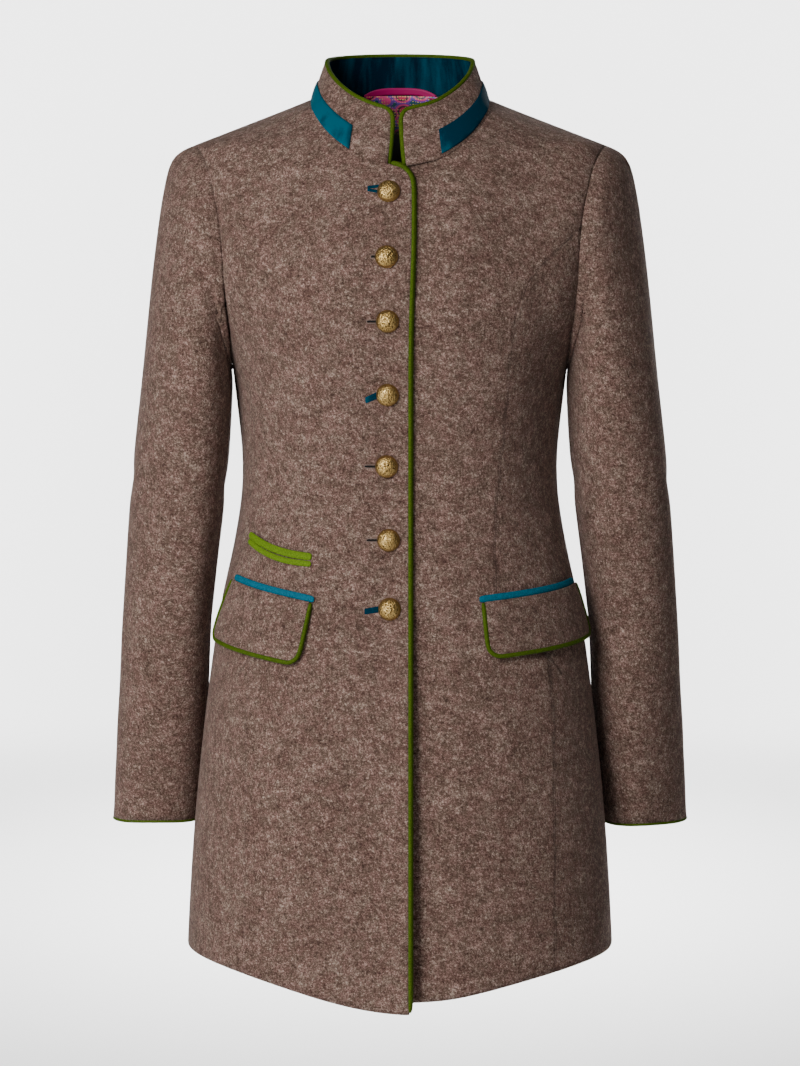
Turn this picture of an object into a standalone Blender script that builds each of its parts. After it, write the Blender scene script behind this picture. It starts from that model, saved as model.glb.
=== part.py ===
"""Long fitted blazer in its worn shape, empty: wool panels, stand collar, piped edges, domed buttons.

Metres, +Z up. The front faces -Y and the wearer's left is +X. The origin lies between the two points
where the collar meets the shoulder seams, which is where the wearer holds the garment up.
Panels are worked out on the wearer's left, with "across" growing outwards, and mirrored by their side.
"""

import math

import bmesh
import bpy
import numpy as np
from mathutils import Vector

SIDES = {"right": -1.0, "left": 1.0}

# Cloth and seams
WOOL = 0.0025
SEAM_GAP = 0.0003
RESTING_GAP = 0.0006

# Neck, shoulder and armhole
NECK_HALF_WIDTH = 0.082
NECK_FRONT_DROP = 0.0605
NECK_FLATNESS = 1.15
NECK_BACK_RISE = 0.005
ARMHOLE_TOP = -0.041
ARMHOLE_BOTTOM = -0.235
ARMHOLE_FRONT_DEPTH = 0.053
ARMHOLE_BACK_DEPTH = 0.055
PRINCESS_TOP = -0.117

# Hem, front edges and overlap
HEM_SIDE = -0.775
HEM_DIP = {"right": 0.0375, "left": 0.030}
HEM_CURVE = 2.6
FRONT_EDGE = {"right": -0.0073, "left": -0.030}
NECK_START = 0.008
EDGE_CORNER_DROP = 0.018
EDGE_LEAN = 0.0030
EDGE_LEAN_BOTTOM = -0.225
EDGE_LEAN_TOP = -0.110
UNDERLAP_DROP = 0.0045
UNDERLAP_SINK = WOOL + 2 * RESTING_GAP
UNDERLAP_FLAT = 0.019
UNDERLAP_END = 0.050
CHEST_LINE = -0.165

# Rows and columns of the panels
SKIRT_ROWS = 18
CHEST_ROWS = 9
NECK_COLUMNS = 6
SHOULDER_COLUMNS = 5
BACK_NECK_COLUMNS = 5
SIDE_COLUMNS = 5
CORNER_ROWS = 4
TOP_CROWDING = 1.5
SEAM_SAMPLES = 400
SLOPE_STEP = 1e-5
SHARP_EDGE = math.radians(40)
MERGE_DISTANCE = 1e-6

BODY_COLUMNS = ("height", "half_width", "front_depth", "back_depth", "squareness")
BODY_SECTIONS = (
    (-0.820, 0.1990, 0.138, 0.141, 2.20),
    (-0.770, 0.1970, 0.136, 0.140, 2.20),
    (-0.672, 0.1910, 0.131, 0.138, 2.20),
    (-0.506, 0.1725, 0.121, 0.133, 2.20),
    (-0.450, 0.1630, 0.116, 0.127, 2.20),
    (-0.397, 0.1510, 0.110, 0.116, 2.20),
    (-0.342, 0.1440, 0.107, 0.106, 2.20),
    (-0.265, 0.1510, 0.116, 0.108, 2.20),
    (-0.235, 0.1545, 0.121, 0.111, 2.20),
    (-0.180, 0.1680, 0.127, 0.116, 2.20),
    (-0.140, 0.1755, 0.122, 0.117, 2.10),
    (-0.103, 0.1820, 0.112, 0.115, 2.00),
    (-0.079, 0.1880, 0.102, 0.111, 1.90),
    (-0.055, 0.1880, 0.093, 0.105, 1.80),
    (-0.041, 0.1860, 0.087, 0.099, 1.70),
    (-0.033, 0.1657, 0.082, 0.093, 1.65),
    (-0.020, 0.1327, 0.076, 0.084, 1.65),
    (0.000, 0.0820, 0.070, 0.068, 2.00),
    (0.015, 0.0500, 0.060, 0.056, 2.00),
)

# The seam runs from the hem to the armhole, and steps sideways behind the pocket flap.
PRINCESS_COLUMNS = ("height", "across")
PRINCESS_SEAM = (
    (-0.830, 0.1410),
    (-0.520, 0.1380),
    (-0.500, 0.1340),
    (-0.460, 0.0900),
    (-0.440, 0.0860),
    (-0.390, 0.0845),
    (-0.297, 0.0930),
    (-0.246, 0.0970),
    (-0.196, 0.1015),
    (-0.167, 0.1110),
    (-0.149, 0.1250),
    (-0.130, 0.1490),
)

# Soft upright troughs of the fronts, below the armhole.
FOLD_COLUMNS = ("across", "top", "bottom", "half_width", "depth")
FOLDS = (
    (0.136, -0.165, -0.345, 0.014, 0.0030),
    (0.150, -0.225, -0.300, 0.009, 0.0018),
)

SLEEVE_COLUMNS = ("height", "outer", "inner", "half_depth", "centre_depth")
SLEEVE_SECTIONS = (
    (-0.6715, 0.2707, 0.1860, 0.0470, 0.060),
    (-0.593, 0.2662, 0.1797, 0.0505, 0.050),
    (-0.502, 0.2603, 0.1765, 0.0550, 0.036),
    (-0.411, 0.2535, 0.1697, 0.0585, 0.020),
    (-0.337, 0.2473, 0.1610, 0.0620, 0.009),
    (-0.264, 0.2383, 0.1560, 0.0650, 0.003),
)
SLEEVE_CAP_ROWS = 6
SLEEVE_ARM_ROWS = 8
SLEEVE_CAP_REACH = 0.11
CAP_CROWDING = 1.1
CAP_CORNER = 0.0075
CAP_CORNER_SHARE = 0.13
CUFF_TILT = 0.15
CUFF_CORNER_LIFT = 0.004
CUFF_CORNER_TIGHTNESS = 6
SLEEVE_SIDE_REACH = 0.02
SLEEVE_FLATNESS = 0.72
SLEEVE_FALL = 0.03
FRONT_SEAM_STEP = CHEST_ROWS + 2
BACK_SEAM_STEP = CHEST_ROWS + SIDE_COLUMNS + 4

# Stand collar, measured round the neck from centre back, with its heights as shares of the stand
COLLAR_WOOL = 0.0022
COLLAR_FACING = 0.0012
COLLAR_TOP_HALF_WIDTH = 0.0695
COLLAR_TOP_FRONT = 0.074
COLLAR_TOP_BACK = 0.058
COLLAR_SIDE_HEIGHT = 0.034
COLLAR_BACK_LIFT = 0.007
COLLAR_FRONT_FALL = 0.028
COLLAR_FRONT_DIP = 0.018
COLLAR_END = {"right": 0.0125, "left": 0.0066}
COLLAR_END_LEAN = 0.0042
COLLAR_LEAN_START = math.radians(150)
COLLAR_CORNER_TURN = 0.10
COLLAR_CORNER_RISE = 0.20
COLLAR_BASE_SHARE = 0.012
COLLAR_FACING_START = 0.06
COLLAR_STRAIGHT_ROWS = 2
COLLAR_PIPING_START = 0.11
BAND_END = {"right": math.radians(146), "left": math.radians(153)}
BAND_SLACK = math.radians(1)
BAND_BOTTOM = 0.05
BAND_TOP = 0.50
BAND_ROWS = 2
BAND_THICKNESS = 0.0010

# Piping, welts, flaps
PIPING_PROFILE = ((SEAM_GAP, 0.0002), (0.0022, 0.0008), (0.0042, 0.0001))
THIN_PIPING_PROFILE = ((0.0004, 0.0002), (0.0020, 0.0007), (0.0037, 0.0001))
FLAP_COLUMNS = ("side", "inner_top_angle", "inner_top_height", "outer_top_angle", "outer_top_height",
                "inner_bottom_angle", "inner_bottom_height", "outer_bottom_angle", "outer_bottom_height")
FLAPS = (
    ("right", 37.8, -0.4485, 73.0, -0.4347, 40.7, -0.5020, 79.5, -0.4870),
    ("left", 35.6, -0.4485, 80.5, -0.4395, 35.9, -0.4955, 85.5, -0.4850),
)
FLAP_ACROSS_STEPS = 8
FLAP_STRAIGHT_ROWS = 3
FLAP_CORNER_ACROSS = 0.08
FLAP_CORNER_DOWN = 0.20
FLAP_FLARE = 0.0030
WELT_HEIGHT = 0.0062
WELT_OVERHANG = 0.05
WELT_BULGE = 0.0022
WELT_STEPS = 10

TICKET_COLUMNS = ("name", "inner_angle", "inner_height", "outer_angle", "outer_height", "bow", "half_height")
TICKET_WELTS = (
    ("ticket_welt_upper", 38.5, -0.4085, 68.5, -0.3920, 0.0035, 0.0031),
    ("ticket_welt_lower", 38.5, -0.4148, 68.5, -0.3980, 0.0042, 0.0024),
)

# Buttons
BUTTONS = (
    (0.0100, -0.0840), (0.0118, -0.1412), (0.0109, -0.1980), (0.0109, -0.2632),
    (0.0118, -0.3270), (0.0100, -0.3926), (0.0091, -0.4534),
)
BUTTON_SIDES = 12
BUTTON_PROFILE = (
    (0.0, 0.0), (0.0040, 0.0), (0.0095, 0.0014), (0.0100, 0.0026),
    (0.0090, 0.0044), (0.0056, 0.0062), (0.0, 0.0069),
)

# Hanger loop and back-neck lining
LOOP_HALF_TURN = 0.43
LOOP_HALF_HEIGHT = 0.0032
LOOP_LIFT = 0.16
LOOP_SQUARENESS = 4
LOOP_THICKNESS = 0.0010
LOOP_STEPS = 12
LINING_THICKNESS = 0.0010
LINING_COLUMNS = 3
LINING_ROWS = 6

FINISHES = {
    "wool": ((0.165, 0.118, 0.092, 1.0), 0.95, 0.0),
    "velvet": ((0.008, 0.075, 0.095, 1.0), 0.80, 0.0),
    "green_piping": ((0.055, 0.085, 0.006, 1.0), 0.70, 0.0),
    "green_felt": ((0.130, 0.180, 0.012, 1.0), 0.85, 0.0),
    "teal_piping": ((0.010, 0.130, 0.190, 1.0), 0.70, 0.0),
    "brass": ((0.300, 0.180, 0.060, 1.0), 0.35, 1.0),
    "magenta_tape": ((0.500, 0.010, 0.180, 1.0), 0.60, 0.0),
    "lining": ((0.300, 0.050, 0.150, 1.0), 0.60, 0.0),
}


# Small helpers for tables and grids

def column(table, names, name):
    """One named column of a table."""
    place = names.index(name)
    return np.array([row[place] for row in table])


def smooth_through(knots, values, at):
    """A smooth curve through the knots that never swings past a value."""
    steps = np.diff(knots)
    slopes = np.diff(values) / steps
    product = slopes[:-1] * slopes[1:]
    total = slopes[:-1] + slopes[1:]
    tangents = np.concatenate((slopes[:1], np.zeros(len(knots) - 2), slopes[-1:]))
    same_way = product > 0
    tangents[1:-1][same_way] = 2 * product[same_way] / total[same_way]
    at = np.clip(at, knots[0], knots[-1])
    place = np.clip(np.searchsorted(knots, at) - 1, 0, len(steps) - 1)
    share = (at - knots[place]) / steps[place]
    rest = 1 - share
    ends = values[place] * (1 + 2 * share) * rest**2 + values[place + 1] * (3 - 2 * share) * share**2
    leans = tangents[place] * share * rest**2 - tangents[place + 1] * rest * share**2
    return ends + leans * steps[place]


def section_at(table, names, height):
    """The values of a table of sections at a height, in the order of its columns."""
    knots = column(table, names, "height")
    return [smooth_through(knots, column(table, names, name), height) for name in names[1:]]


def ease(value):
    """0 to 1 with level ends."""
    value = np.clip(value, 0.0, 1.0)
    return value * value * (3 - 2 * value)


def unit(vectors):
    return vectors / np.linalg.norm(vectors, axis=-1, keepdims=True)


def coons(bottom, top, left, right):
    """A grid spanned by four edges: bottom and top run across, left and right run up."""
    u = np.linspace(0, 1, len(bottom))[None, :, None]
    v = np.linspace(0, 1, len(left))[:, None, None]
    ruled_up = (1 - v) * bottom[None] + v * top[None]
    ruled_across = (1 - u) * left[:, None] + u * right[:, None]
    corners = ((1 - u) * (1 - v) * bottom[0] + u * (1 - v) * bottom[-1]
               + (1 - u) * v * top[0] + u * v * top[-1])
    return ruled_up + ruled_across - corners


def mirrored(points, side):
    return points * np.array((SIDES[side], 1.0, 1.0))


# The general figure that the body panels follow: level rings from hem to neck

def body_section(height):
    """Half width, front depth, back depth and squareness of the ring at a height."""
    return section_at(BODY_SECTIONS, BODY_COLUMNS, height)


def on_body(across, height, back=False):
    """Point of the figure's front or back with the given across and height."""
    half_width, front, behind, power = body_section(height)
    rest = np.clip(1 - (np.abs(across) / half_width) ** power, 0, 1) ** (1 / power)
    depth = behind * rest if back else -front * rest
    return np.stack((across, depth, height), axis=-1)


def beside_body(depth, height):
    """Point of the figure's side with the given depth and height."""
    half_width, front, behind, power = body_section(height)
    reach = np.where(depth < 0, front, behind)
    across = half_width * np.clip(1 - (np.abs(depth) / reach) ** power, 0, 1) ** (1 / power)
    return np.stack((across, depth, height), axis=-1)


def round_body(angle, height):
    """Point of the figure at an angle from centre front and a height."""
    half_width, front, behind, power = body_section(height)
    reach = np.where(np.cos(angle) >= 0, front, behind)
    terms = (np.abs(np.sin(angle)) / half_width) ** power + (np.abs(np.cos(angle)) / reach) ** power
    radius = terms ** (-1 / power)
    return np.stack((radius * np.sin(angle), -radius * np.cos(angle), height), axis=-1)


def body_level(points):
    half_width, front, behind, power = body_section(points[..., 2])
    reach = np.where(points[..., 1] < 0, front, behind)
    return (np.abs(points[..., 0]) / half_width) ** power + (np.abs(points[..., 1]) / reach) ** power


def body_normals(points):
    """Outward normals of the figure, from the slope of its level function."""
    moves = np.eye(3) * SLOPE_STEP
    slopes = [body_level(points + move) - body_level(points - move) for move in moves]
    return unit(np.stack(slopes, axis=-1))


def angle_of(points):
    return np.arctan2(points[..., 0], -points[..., 1])


# Seam lines on the figure

def hem_height(angle, side):
    front_share = np.clip(np.cos(angle), 0, 1) ** HEM_CURVE
    return HEM_SIDE - HEM_DIP[side] * front_share


def princess_line(side):
    """Points from hem to armhole, evenly spaced along the seam."""
    knots = column(PRINCESS_SEAM, PRINCESS_COLUMNS, "height")
    places = column(PRINCESS_SEAM, PRINCESS_COLUMNS, "across")
    end = armhole_line(np.array([princess_turn()]))[0]
    knots = np.append(knots, end[2])
    places = np.append(places, end[0])
    hem = on_body(places[0], knots[0])
    low = hem_height(angle_of(hem), side)
    fine = np.linspace(low, end[2], SEAM_SAMPLES)
    line = on_body(smooth_through(knots, places, fine), fine)
    travel = np.concatenate(([0], np.cumsum(np.linalg.norm(np.diff(line, axis=0), axis=1))))
    stops = np.linspace(0, travel[-1], SKIRT_ROWS + 1)
    return np.stack([np.interp(stops, travel, line[:, axis]) for axis in range(3)], axis=-1)


def armhole_line(turn):
    """Armhole point at a turn: 0 at the shoulder tip, half a turn at the underarm, front first."""
    middle = (ARMHOLE_TOP + ARMHOLE_BOTTOM) / 2
    height = middle + (ARMHOLE_TOP - middle) * np.cos(turn)
    sine = np.sin(turn)
    depth = -sine * np.where(sine >= 0, ARMHOLE_FRONT_DEPTH, ARMHOLE_BACK_DEPTH)
    return beside_body(depth, height)


def princess_turn():
    middle = (ARMHOLE_TOP + ARMHOLE_BOTTOM) / 2
    return math.acos((PRINCESS_TOP - middle) / (ARMHOLE_TOP - middle))


def armhole_turns():
    """Turns of all armhole points: front panel, side front, back."""
    crowded = np.linspace(0, 1, CHEST_ROWS + 1) ** TOP_CROWDING
    front = princess_turn() * crowded
    under = np.linspace(princess_turn(), math.pi, SIDE_COLUMNS + 1)
    behind = 2 * math.pi - math.pi * crowded[::-1]
    return front, under, behind


def shoulder_line():
    height = np.linspace(0, ARMHOLE_TOP, SHOULDER_COLUMNS + 1)
    return np.stack((body_section(height)[0], np.zeros_like(height), height), axis=-1)


def neck_angles():
    """Bearings of the front neckline's points, from centre front to the shoulder."""
    return np.linspace(math.asin(NECK_START / NECK_HALF_WIDTH), math.pi / 2, NECK_COLUMNS + 1)


def front_neck_line(side):
    """Front neckline; the left one starts at the edge of its underlap."""
    angle = neck_angles()
    across = NECK_HALF_WIDTH * np.sin(angle)
    height = -NECK_FRONT_DROP * np.cos(angle) ** NECK_FLATNESS
    if side == "left":
        across = np.append(FRONT_EDGE[side], across)
        height = np.append(-NECK_FRONT_DROP - UNDERLAP_DROP, height)
    return on_body(across, height)


def back_neck_line():
    angle = np.linspace(0, math.pi / 2, BACK_NECK_COLUMNS + 1)
    return on_body(NECK_HALF_WIDTH * np.sin(angle), NECK_BACK_RISE * np.cos(angle) ** 2, back=True)


# Cloth walls and strips

def finish_material(name):
    material = bpy.data.materials.get(name)
    if material is None:
        colour, roughness, metallic = FINISHES[name]
        material = bpy.data.materials.new(name)
        material.use_nodes = True
        shader = material.node_tree.nodes["Principled BSDF"]
        shader.inputs["Base Color"].default_value = colour
        shader.inputs["Roughness"].default_value = roughness
        shader.inputs["Metallic"].default_value = metallic
    return material


def add_object(name, bm, finish):
    bmesh.ops.recalc_face_normals(bm, faces=bm.faces)
    mesh = bpy.data.meshes.new(name)
    bm.to_mesh(mesh)
    bm.free()
    mesh.shade_smooth()
    mesh.set_sharp_from_angle(angle=SHARP_EDGE)
    mesh.materials.append(finish_material(finish))
    thing = bpy.data.objects.new(name, mesh)
    bpy.context.scene.collection.objects.link(thing)
    return thing


def cloth_wall(name, outer, inner, finish, closed=False):
    """A closed wall between two grids of points; closed joins the last row to the first."""
    bm = bmesh.new()
    outside = [[bm.verts.new(point) for point in row] for row in outer]
    inside = [[bm.verts.new(point) for point in row] for row in inner]
    last_row = len(outside) - 1
    last_column = len(outside[0]) - 1
    row_pairs = [(low, low + 1) for low in range(last_row)]
    if closed:
        row_pairs.append((last_row, 0))
    for low, high in row_pairs:
        for near in range(last_column):
            corners = ((low, near), (low, near + 1), (high, near + 1), (high, near))
            rising = np.linalg.norm(outer[high, near + 1] - outer[low, near])
            falling = np.linalg.norm(outer[high, near] - outer[low, near + 1])
            if rising > falling:
                corners = corners[1:] + corners[:1]
            for skin in (outside, inside):
                first, second, third, fourth = (skin[row][place] for row, place in corners)
                bm.faces.new((first, second, third))
                bm.faces.new((first, third, fourth))
        for edge in (0, last_column):
            bm.faces.new((outside[low][edge], outside[high][edge], inside[high][edge], inside[low][edge]))
    if not closed:
        for end in (0, last_row):
            rims = (outside[end], inside[end])
            for near in range(last_column):
                bm.faces.new((rims[0][near], rims[0][near + 1], rims[1][near + 1], rims[1][near]))
    return add_object(name, bm, finish)


def tube_normals(points):
    """Normals of a grid of closed rings, from its own slopes."""
    wrapped = np.concatenate((points[:, -1:], points, points[:, :1]), axis=1)
    along = np.gradient(wrapped, axis=1)[:, 1:-1]
    return unit(np.cross(along, np.gradient(points, axis=0)))


def pulled_in(points, normals, edges):
    """Moves the named edges of a grid half a seam gap into the panel."""
    lines = {"bottom": (np.s_[0, :], np.s_[1, :]), "top": (np.s_[-1, :], np.s_[-2, :]),
             "first": (np.s_[:, 0], np.s_[:, 1]), "last": (np.s_[:, -1], np.s_[:, -2])}
    moved = points.copy()
    for edge in edges:
        rim, neighbour = lines[edge]
        inward = unit(np.cross(normals[rim], np.gradient(points[rim], axis=0)))
        inward *= np.sign(np.sum(inward * (points[neighbour] - points[rim])))
        moved[rim] += inward * SEAM_GAP / 2
    return moved


def edge_strip(name, path, normals, turn, profile, base, finish, closed=False):
    """A strip along a path: the profile gives its offsets sideways and its height above the path."""
    if closed:
        tangents = np.roll(path, -1, axis=0) - np.roll(path, 1, axis=0)
    else:
        tangents = np.gradient(path, axis=0)
    sideways = turn * unit(np.cross(normals, tangents))
    outer = np.stack([path + sideways * offset + normals * lift for offset, lift in profile], axis=1)
    inner = np.stack([path + sideways * offset - normals * base for offset, _ in profile], axis=1)
    return cloth_wall(name, outer, inner, finish, closed)


def rounded_grid(columns, corner_across, corner_share, straight_rows):
    """Grid over the given columns and a height of 0 to 1, with the two top corners rounded."""
    straight = np.linspace(0, 1 - corner_share, straight_rows + 1)
    bend = np.linspace(0, math.pi / 2, CORNER_ROWS)[1:]
    height = np.concatenate((straight, 1 - corner_share * (1 - np.sin(bend))))
    inset = np.concatenate((np.zeros(len(straight)), corner_across * (1 - np.cos(bend))))
    rows = [np.clip(columns, columns[0] + short, columns[-1] - short) for short in inset]
    return np.array(rows), np.repeat(height[:, None], len(columns), axis=1)


def open_rim(grid):
    """First column up, top row across, last column down."""
    return np.concatenate((grid[:, 0], grid[-1, 1:-1], grid[::-1, -1]))


# Body panels

def panel_points(lower, upper, back):
    """Panel grid from an (angle, height) part and an (across, height) part above it."""
    skirt = round_body(lower[..., 0], lower[..., 1])
    if upper is None:
        return skirt
    return np.concatenate((skirt, on_body(upper[1:, :, 0], upper[1:, :, 1], back)))


def as_angles(points):
    return np.stack((angle_of(points), points[..., 2]), axis=-1)


def as_across(points):
    return points[..., [0, 2]]


def fold_relief(points):
    """Depth of the soft troughs at each point of a front."""
    relief = np.zeros(points.shape[:-1])
    for row in FOLDS:
        fold = dict(zip(FOLD_COLUMNS, row))
        run = np.clip((points[..., 2] - fold["bottom"]) / (fold["top"] - fold["bottom"]), 0, 1)
        nearness = np.exp(-((points[..., 0] - fold["across"]) / fold["half_width"]) ** 2)
        relief += fold["depth"] * nearness * np.sin(math.pi * run) ** 2
    return relief


def edge_across(side, height):
    """Where a front edge lies; towards the neck the right one leans over to the left."""
    lean = EDGE_LEAN * ease((height - EDGE_LEAN_BOTTOM) / (EDGE_LEAN_TOP - EDGE_LEAN_BOTTOM))
    return FRONT_EDGE[side] - (lean if side == "right" else np.zeros_like(lean))


def front_edge_line(side):
    """Front edge above the chest line, with the right one's rounded corner at the neck."""
    top = as_across(front_neck_line(side))[0]
    if side == "left":
        height = np.linspace(CHEST_LINE, top[1], CHEST_ROWS + 1)
        return np.stack((edge_across(side, height), height), axis=-1)
    straight = np.linspace(CHEST_LINE, top[1] - EDGE_CORNER_DROP, CHEST_ROWS - CORNER_ROWS + 1)
    bend = np.linspace(0, math.pi / 2, CORNER_ROWS + 1)[1:]
    edge = edge_across(side, straight)
    across = np.concatenate((edge, edge[-1] + (top[0] - edge[-1]) * (1 - np.cos(bend))))
    height = np.concatenate((straight, top[1] - EDGE_CORNER_DROP * (1 - np.sin(bend))))
    return np.stack((across, height), axis=-1)


def front_panel(side):
    seam = princess_line(side)
    turns = armhole_turns()[0]
    edge_angle = angle_of(on_body(np.array(FRONT_EDGE[side]), np.array(HEM_SIDE)))
    neck = front_neck_line(side)
    columns = len(neck) + SHOULDER_COLUMNS
    hem_angle = np.linspace(edge_angle, angle_of(seam[0]), columns)
    hem = np.stack((hem_angle, hem_height(hem_angle, side)), axis=-1)
    edge_height = np.linspace(hem[0, 1], CHEST_LINE, SKIRT_ROWS + 1)
    front_edge = as_angles(on_body(edge_across(side, edge_height), edge_height))
    share = np.linspace(0, 1, columns)
    chest_angle = front_edge[-1, 0] + share * (angle_of(seam[-1]) - front_edge[-1, 0])
    chest_height = CHEST_LINE + share * (seam[-1, 2] - CHEST_LINE)
    chest = np.stack((chest_angle, chest_height), axis=-1)
    lower = coons(hem, chest, front_edge, as_angles(seam))
    top = as_across(np.concatenate((neck, shoulder_line()[1:])))
    chest_across = as_across(round_body(chest[:, 0], chest[:, 1]))
    armhole = as_across(armhole_line(turns[::-1]))
    upper = coons(chest_across, top, front_edge_line(side), armhole)
    points = panel_points(lower, upper, back=False)
    points[SKIRT_ROWS:, -1] = armhole_line(turns[::-1])
    points[-1, len(neck) - 1:] = shoulder_line()
    normals = body_normals(points)
    points = pulled_in(points, normals, ("last", "top"))
    points -= normals * fold_relief(points)[..., None]
    if side == "left":
        under = ease((UNDERLAP_END - points[..., 0]) / (UNDERLAP_END - UNDERLAP_FLAT))
        points -= normals * (UNDERLAP_SINK * under)[..., None]
    build_panel("front_" + side, side, points, normals)
    return points, normals


def side_front_panel(side):
    seam = princess_line(side)
    under = armhole_line(armhole_turns()[1])
    quarter = math.pi / 2
    hem_angle = np.linspace(angle_of(seam[0]), quarter, SIDE_COLUMNS + 1)
    hem = np.stack((hem_angle, hem_height(hem_angle, side)), axis=-1)
    side_height = np.linspace(hem[-1, 1], ARMHOLE_BOTTOM, SKIRT_ROWS + 1)
    side_seam = np.stack((np.full_like(side_height, quarter), side_height), axis=-1)
    lower = coons(hem, as_angles(under), as_angles(seam), side_seam)
    points = panel_points(lower, None, back=False)
    points[:, 0] = seam
    points[-1] = under
    normals = body_normals(points)
    points = pulled_in(points, normals, ("first", "last", "top"))
    points -= normals * fold_relief(points)[..., None]
    build_panel("side_front_" + side, side, points, normals)


def back_panel(side):
    quarter = math.pi / 2
    columns = BACK_NECK_COLUMNS + SHOULDER_COLUMNS + 1
    hem_angle = np.linspace(math.pi, quarter, columns)
    hem = np.stack((hem_angle, np.full(columns, HEM_SIDE)), axis=-1)
    side_height = np.linspace(HEM_SIDE, ARMHOLE_BOTTOM, SKIRT_ROWS + 1)
    side_seam = np.stack((np.full_like(side_height, quarter), side_height), axis=-1)
    centre_height = np.linspace(HEM_SIDE, CHEST_LINE, SKIRT_ROWS + 1)
    centre = np.stack((np.full_like(centre_height, math.pi), centre_height), axis=-1)
    chest_height = np.linspace(CHEST_LINE, ARMHOLE_BOTTOM, columns)
    chest = np.stack((hem_angle, chest_height), axis=-1)
    lower = coons(hem, chest, centre, side_seam)
    neck = back_neck_line()
    top = as_across(np.concatenate((neck, shoulder_line()[1:])))
    armhole = armhole_line(armhole_turns()[2])
    centre_top = np.linspace(CHEST_LINE, top[0, 1], CHEST_ROWS + 1)
    centre_upper = np.stack((np.zeros_like(centre_top), centre_top), axis=-1)
    chest_across = as_across(round_body(chest[:, 0], chest[:, 1]))
    upper = coons(chest_across, top, centre_upper, as_across(armhole))
    points = panel_points(lower, upper, back=True)
    points[SKIRT_ROWS:, -1] = armhole
    points[-1, BACK_NECK_COLUMNS:] = shoulder_line()
    normals = body_normals(points)
    build_panel("back_" + side, side, pulled_in(points, normals, ("first", "last", "top")), normals)
    return points, normals


def build_panel(name, side, points, normals):
    inner = points - normals * WOOL
    cloth_wall(name, mirrored(points, side), mirrored(inner, side), "wool")


# Sleeves

def sleeve_ring(turn, height):
    """Ring of the hanging sleeve: outer side first, then front, inner side and back.

    Towards the cuff the rings tilt up at the front, and lift where the cloth turns round the sides.
    """
    outer, inner, half_depth, centre = section_at(SLEEVE_SECTIONS, SLEEVE_COLUMNS, height)
    across = (outer + inner) / 2 + (outer - inner) / 2 * np.cos(turn)
    depth = centre - half_depth * np.sign(np.sin(turn)) * np.abs(np.sin(turn)) ** SLEEVE_FLATNESS
    cuff, biceps = SLEEVE_SECTIONS[0][0], SLEEVE_SECTIONS[-1][0]
    lowness = ease((biceps - height) / (biceps - cuff))
    lift = CUFF_TILT * (centre - depth) + CUFF_CORNER_LIFT * np.cos(turn) ** CUFF_CORNER_TIGHTNESS
    return np.stack((across, depth, height + lowness * lift), axis=-1)


def sleeve_points():
    """Closed rings from the armhole, over the cap, down to the cuff."""
    front, under, behind = armhole_turns()
    turns = np.concatenate((front, under[1:], behind[1:-1]))
    even = np.linspace(0, 2 * math.pi, len(turns) + 1)[:-1]
    biceps = SLEEVE_SECTIONS[-1][0]
    cuff = SLEEVE_SECTIONS[0][0]
    seam = armhole_line(turns)
    top_share = ((1 + np.cos(turns)) / 2)[:, None]
    across_axis = np.array((1.0, 0.0, 0.0))
    depth_axis = np.array((0.0, 1.0, 0.0))
    up_axis = np.array((0.0, 0.0, 1.0))
    leave = (SLEEVE_CAP_REACH * top_share * across_axis
             - SLEEVE_SIDE_REACH * np.sin(turns)[:, None] * depth_axis
             - SLEEVE_FALL * (1 - top_share) * up_axis)
    start = seam + unit(leave) * SEAM_GAP / 2 + body_normals(seam) * SEAM_GAP * (1 - top_share)
    ring = sleeve_ring(even, biceps)
    below = sleeve_ring(even, biceps - SLEEVE_FALL)
    arrive = unit(below - ring) * np.linalg.norm(ring - start, axis=1, keepdims=True)
    rows = []
    for share in np.linspace(0, 1, SLEEVE_CAP_ROWS + 1) ** CAP_CROWDING:
        rest = 1 - share
        nearness = share / CAP_CORNER_SHARE
        padding = CAP_CORNER * (nearness * math.exp(1 - nearness)) ** 2
        rows.append(start * (1 + 2 * share) * rest**2 + ring * (3 - 2 * share) * share**2
                    + leave * share * rest**2 - arrive * rest * share**2
                    + padding * top_share**2 * across_axis)
    for height in np.linspace(biceps, cuff, SLEEVE_ARM_ROWS + 1)[1:]:
        rows.append(sleeve_ring(even, height))
    return np.array(rows)


def sleeve(side):
    points = sleeve_points()
    normals = tube_normals(points)
    count = points.shape[1]
    upper = np.arange(BACK_SEAM_STEP - count, FRONT_SEAM_STEP + 1)
    under = np.arange(FRONT_SEAM_STEP, BACK_SEAM_STEP + 1)
    for piece, steps in (("upper", upper), ("under", under)):
        part = points[:, steps]
        facing = normals[:, steps]
        part = pulled_in(part, facing, ("first", "last"))
        build_panel("sleeve_%s_%s" % (piece, side), side, part, facing)
    edge_strip("cuff_piping_" + side, mirrored(points[-1], side), mirrored(normals[-1], side), SIDES[side],
               THIN_PIPING_PROFILE, WOOL, "green_piping", closed=True)


# Stand collar

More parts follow.
